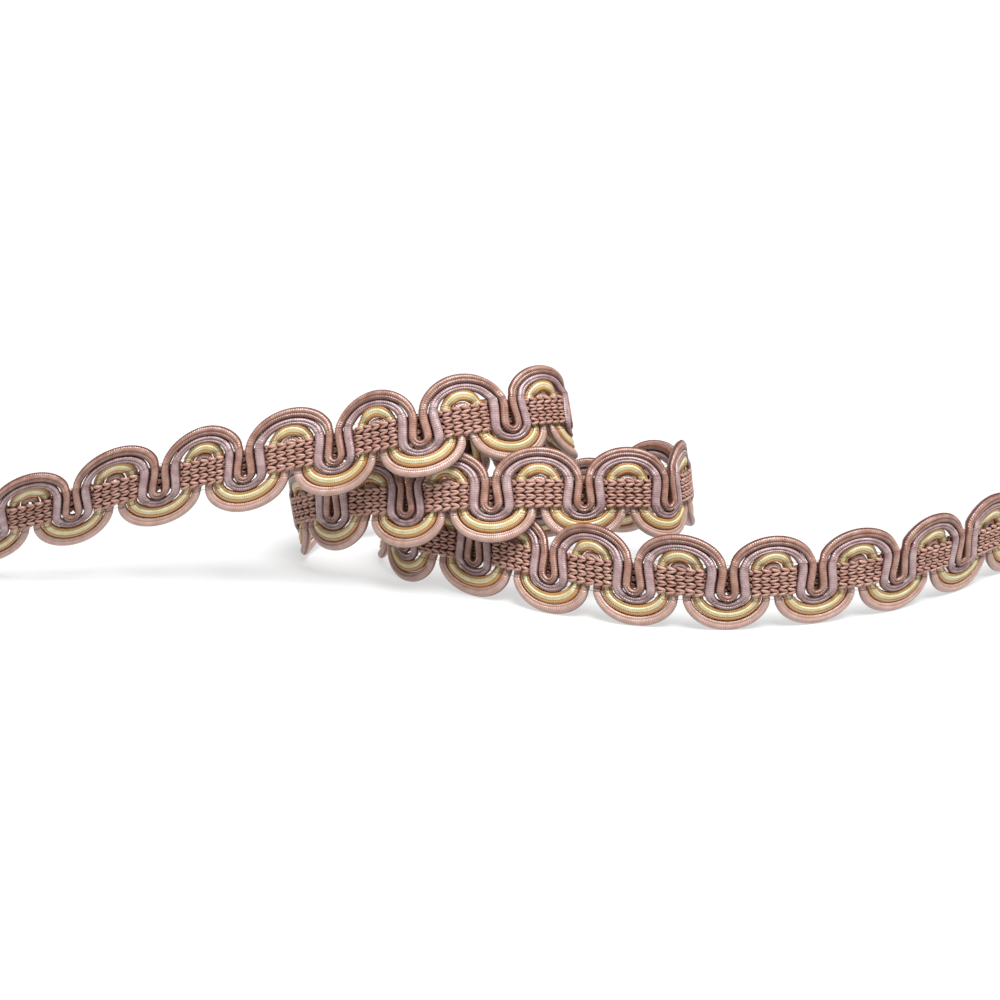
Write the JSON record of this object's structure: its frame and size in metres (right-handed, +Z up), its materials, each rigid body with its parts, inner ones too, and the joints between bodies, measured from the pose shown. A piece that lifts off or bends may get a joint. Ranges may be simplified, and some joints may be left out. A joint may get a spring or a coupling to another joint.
{
  "type": "gimp braid trim",
  "caption": "Scalloped gimp braid of wrapped cords in one serpentine with a knitted band through them, standing on its edge in a loose stepped coil.",
  "frame": {"origin": "on the floor, under the middle of the coil's bounding box", "axes": "+X along the coil's long side, from the raised cut end to the cut end on the floor; -Y out of the front strands' face; +Z up"},
  "size_m": [0.2574, 0.0652, 0.0478],
  "materials": {
    "brown_gimp": "satin",
    "mauve_gimp": "satin",
    "yellow_gimp": "satin",
    "pink_gimp": "satin",
    "knit": "satin"
  },
  "bodies": {
    "root": {"brown_cord": "brown_gimp", "mauve_cord": "mauve_gimp", "yellow_cord": "yellow_gimp", "pink_cord": "pink_gimp", "knit_band": "knit"}
  },
  "joints": []
}
